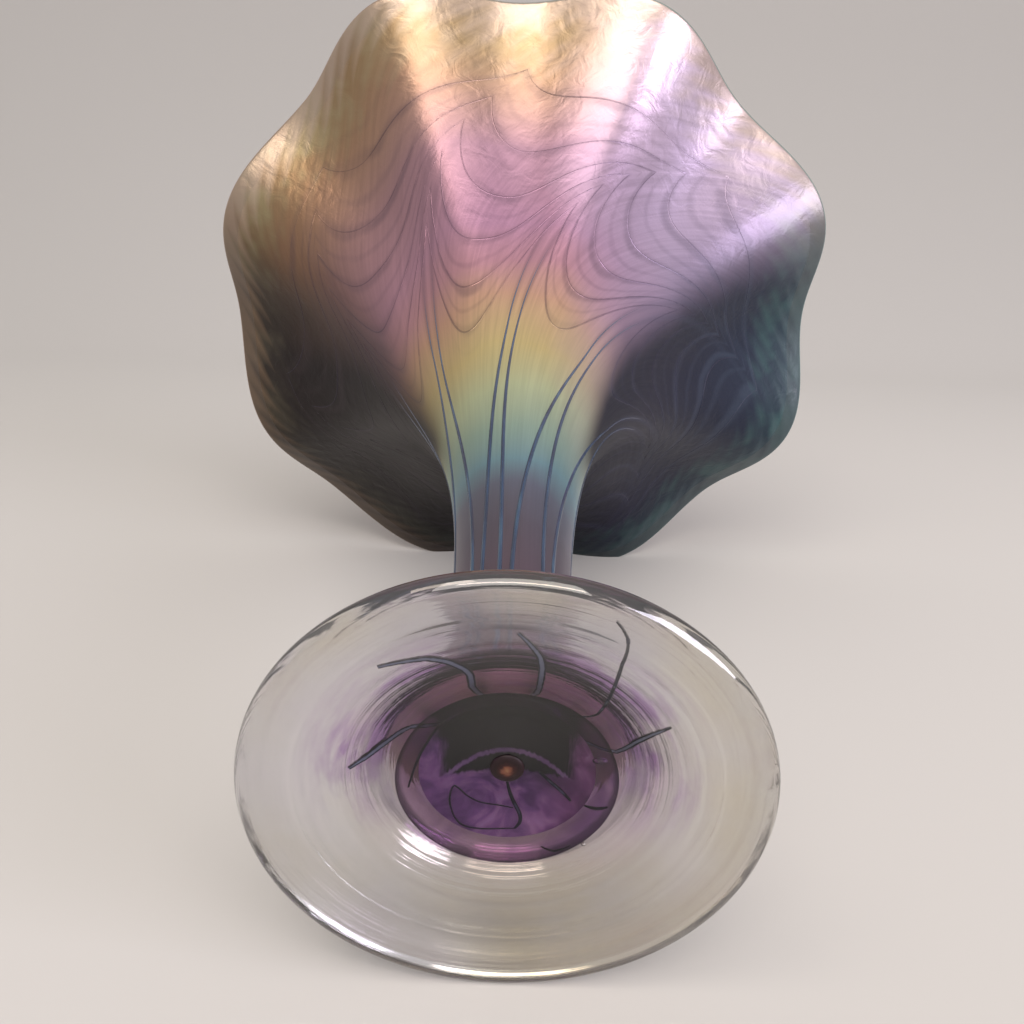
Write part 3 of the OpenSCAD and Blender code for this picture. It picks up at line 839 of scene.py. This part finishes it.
def flat_canes(name, canes):
    """Closed flat canes along (place, out, half width); "across" is 1 at their edges and if thin."""
    bm = bmesh.new()
    across = bm.verts.layers.float.new("across")
    for cane in canes:
        made = bmesh.ops.create_grid(bm, x_segments=16, y_segments=len(cane) - 1, size=0.5)["verts"]
        for vert in made:
            angle = (vert.co.x + 0.5) * math.tau
            i = round((vert.co.y + 0.5) * (len(cane) - 1))
            place, out, half = cane[i]
            ahead = (cane[min(i + 1, len(cane) - 1)][0] - cane[max(i - 1, 0)][0]).normalized()
            vert[across] = max(abs(math.sin(angle)), 1 - 1.6 * half)
            vert.co = place + (ahead.cross(out) * (half * math.sin(angle))
                               + out * (CANE_T * math.cos(angle))) * MM
    bmesh.ops.remove_doubles(bm, verts=bm.verts, dist=0.000002)
    bmesh.ops.holes_fill(bm, edges=[edge for edge in bm.edges if edge.is_boundary], sides=0)
    return finished(name, bm)


def on_foot(radius, turn):
    """The place on top of the foot at a radius and a turn."""
    return foot_skin.ray_cast(ring(radius, 60, turn), Vector((0, 0, -1)))[0]


def pressed(run, width, lift, thinning):
    """A cane along a run over the foot, lifted off it or sunk under it."""
    cane = []
    for i, place in enumerate(run):
        place, out = foot_skin.find_nearest(place)[:2]
        cane.append((place + out * lift * MM, out, width / 2 * thinning(i / (len(run) - 1))))
    return cane


loose_canes = []
for width, stops in LOOSE_ENDS:
    first_r, first_turn = stops[0]
    neck = [foot_top(t) for t in (0.97, 0.9, 0.8)]
    places = [ring(at.x, at.y, first_turn) for at in neck if at.x < first_r - 1]
    run = run_through(places + [on_foot(*stop) for stop in stops])
    loose_canes.append(pressed(run, width, CANE_LIFT, lambda share: (
        0.3 + 0.7 * eased(share / 0.3) * eased((1.15 - share) / 0.5))))
foot_threads = flat_canes("foot_threads", loose_canes)
add = new_finish("night_blue_cane", foot_threads)
spot = add("TexCoord", out="Object")
thick_thin = add("TexNoise", (spot, 700, 3))
across = add("Attribute", out="Fac", attribute_name="across")
uneven = add("Math", (thick_thin, 0.3, across), operation="MULTIPLY_ADD")
nights = add("ValToRGB", (uneven,), bands={0: "#8c95b2", 0.46: "#7a83a2", 0.58: "#141b33", 1: "#06070e"})
surface = add("BsdfPrincipled", {"Base Color": nights, "Roughness": 0.3, "IOR": 1.2,
    "Transmission Weight": 0.2})
add("OutputMaterial", (surface,))
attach(foot_threads, "root")
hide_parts("foot_trails")

# ---- Thread loops in the disc
# The first turns of the thread were left as loops between pad and foot, and show in the disc.
# Each has its greatest width and its places, as above.
LOOPS = [
    (0.75, [(3.4, 1), (5.7, 6), (8, 11), (10, 14), (11.6, 12), (12.6, 7)]),
    (0.35, [(12.6, 7), (12.8, 352), (13.5, 338), (13.9, 325), (12.7, 312), (11.3, 300), (9.6, 291),
            (9, 308), (8.7, 327), (8.2, 346), (8.6, 8)]),
    (0.55, [(16.6, 216), (15.8, 229), (15.3, 241), (15.4, 253), (15.8, 265), (16.9, 278)]),
    (0.8, [(5.5, 84), (8, 72), (10.4, 67), (12.4, 63)]),
    (0.7, [(14.7, 66), (16.6, 68), (18.2, 73)]),
    (0.4, [(16.8, 22), (18.4, 28), (18.6, 38)]),
]
LOOP_DEPTH = 0.9
loop_canes = []
for width, stops in LOOPS:
    run = run_through([ring(radius, dome(radius), turn) for radius, turn in stops])
    loop_canes.append(pressed(run, width, -LOOP_DEPTH, lambda share: 0.6 + 0.4 * math.sin(math.pi * share)))
disc_loops = flat_canes("disc_thread_loops", loop_canes)
disc_loops.data.materials.append(foot_threads.data.materials[0])
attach(disc_loops, "root")

# ---- Air seeds
# Two air bubbles stayed in the clear glass, the larger one nearly 3 mm long. Light bends away from
# air in glass, so its index is that of air over that of glass.
SEED_DEPTH = 1.2
bm = bmesh.new()
for point, long_r, wide_r in (("seed_large", 1.35, 0.8), ("seed_small", 0.45, 0.4)):
    place, out = from_view(*IMAGE_POINTS[point], foot_skin, depth=SEED_DEPTH * MM)
    turned_in = Matrix.Translation(place) @ out.to_track_quat("Z", "X").to_matrix().to_4x4()
    bmesh.ops.create_uvsphere(bm, u_segments=32, v_segments=20, radius=MM,
                              matrix=turned_in @ Matrix.Diagonal((long_r, wide_r, wide_r * 0.8, 1)))
seeds = finished("air_seeds", bm)
add = new_finish("air_in_glass", seeds)
spot = add("TexCoord", out="Object")
skin = add("TexNoise", (spot, 400, 2))
skin_tints = add("ValToRGB", (skin,), bands={0.3: "#f4eef6", 0.7: "#ffffff"})
# Seen aslant, its skin throws back all the light: a bright outline.
aslant = add("LayerWeight", {"Blend": 0.3}, out="Facing")
mirrors = add("MapRange", (aslant, 0.45, 0.75))
surface = add("BsdfPrincipled", {"Base Color": skin_tints, "Roughness": 0, "Metallic": mirrors,
    "IOR": 1 / GLASS_INDEX, "Transmission Weight": 1})
add("OutputMaterial", (surface,))
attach(seeds, "root")

# ---- The nick in the foot
# The rounded edge has one small old nick, a smooth dent half a millimetre deep.
NICK_R, NICK_DEPTH = 2.2, 0.55
nick_at, nick_out = from_view(*IMAGE_POINTS["nick"], foot_skin)
for vert in foot.data.vertices:
    off = (vert.co - nick_at).length / (NICK_R * MM)
    if off < 1:
        vert.co -= nick_out * (NICK_DEPTH * MM * (1 - off * off) ** 2)

# ---- Floor and backdrop
# A plain pale sweep: the vase lies on it with foot and mouth, and it bends up far behind the mouth.
# It is one-sided, so that the object can be looked at from beneath too.
FOOT_TOUCH, MOUTH_TOUCH = Vector((45, 2.5)), Vector((98.6, 240.5))
lean = (MOUTH_TOUCH - FOOT_TOUCH).normalized()
floor_up = Vector((0, -lean.y, lean.x))
floor_run = Vector((0, lean.x, lean.y))
floor_start = Vector((0, FOOT_TOUCH.x, FOOT_TOUCH.y)) * MM
SWEEP_W, SWEEP_NEAR, SWEEP_FAR, SWEEP_BEND, SWEEP_TOP = 3.2, -0.9, 0.75, 0.35, 1.8
bm = bmesh.new()
sweep_line = [(SWEEP_NEAR, 0.0), (0.0, 0.0), (SWEEP_FAR, 0.0)]
sweep_line += [(SWEEP_FAR + SWEEP_BEND * math.sin(a), SWEEP_BEND * (1 - math.cos(a)))
               for a in spread(0, math.pi / 2, 24)[1:]]
sweep_line += [(SWEEP_FAR + SWEEP_BEND, SWEEP_TOP)]
verts = [bm.verts.new(floor_start + floor_run * run + floor_up * rise + Vector((-SWEEP_W / 2, 0, 0)))
         for run, rise in sweep_line]
edges = [bm.edges.new(pair) for pair in zip(verts, verts[1:])]
wide = bmesh.ops.extrude_edge_only(bm, edges=edges)
bmesh.ops.translate(bm, vec=(SWEEP_W, 0, 0),
                    verts=[part for part in wide["geom"] if isinstance(part, bmesh.types.BMVert)])
bm.normal_update()
if sum(face.normal.dot(floor_up) for face in bm.faces) < 0:
    bmesh.ops.reverse_faces(bm, faces=bm.faces)
for face in bm.faces:
    face.smooth = True
floor_mesh = bpy.data.meshes.new("floor_sweep")
bm.to_mesh(floor_mesh)
bm.free()
floor = in_scene("floor_sweep", floor_mesh)
add = new_finish("pale_paper", floor)
behind = add("NewGeometry", out="Backfacing")
front = add("BsdfDiffuse", ("#c9c6c4", 0.5))
clear = add("BsdfTransparent")
sided = add("MixShader", (behind, front, clear))
add("OutputMaterial", (sided,))

# ---- Light
# Soft lamps above, one of them to the left, a window to the right, and an even pale surround.


def soft_lamp(name, place, aim, wide, high, watts, colour):
    lamp_data = bpy.data.lights.new(name, "AREA")
    lamp_data.shape = "RECTANGLE"
    lamp_data.size, lamp_data.size_y = wide, high
    lamp_data.energy = watts
    lamp_data.color = linear(colour)[:3]
    in_scene(name, lamp_data).matrix_world = Matrix.Translation(place) @ (
        Vector(aim) - Vector(place)).to_track_quat("-Z", "Y").to_matrix().to_4x4()


soft_lamp("lamp_above", (0.05, -0.83, -0.43), (0, -0.09, 0.24), 0.7, 0.14, 1.35, "#fff4e6")
soft_lamp("lamp_left", (-0.36, -0.82, -0.16), (0.01, -0.09, 0.24), 0.34, 0.3, 0.8, "#fff0dc")
soft_lamp("lamp_ceiling", (0.0, -1.5, -0.65), (0, 0, 0.16), 1.5, 1.5, 16.2, "#fff8f0")
soft_lamp("lamp_window", (0.80, -0.30, -0.42), (0, 0, 0.14), 0.62, 0.62, 6.2, "#f4f0ff")

world = bpy.data.worlds.new("pale_surround")
bpy.context.scene.world = world
world.use_nodes = True
world.node_tree.nodes.clear()
add_node(world, "OutputWorld", (add_node(world, "Background", ("#f2f0ee", 0.66)),))

bpy.context.scene.view_settings.view_transform = "Standard"
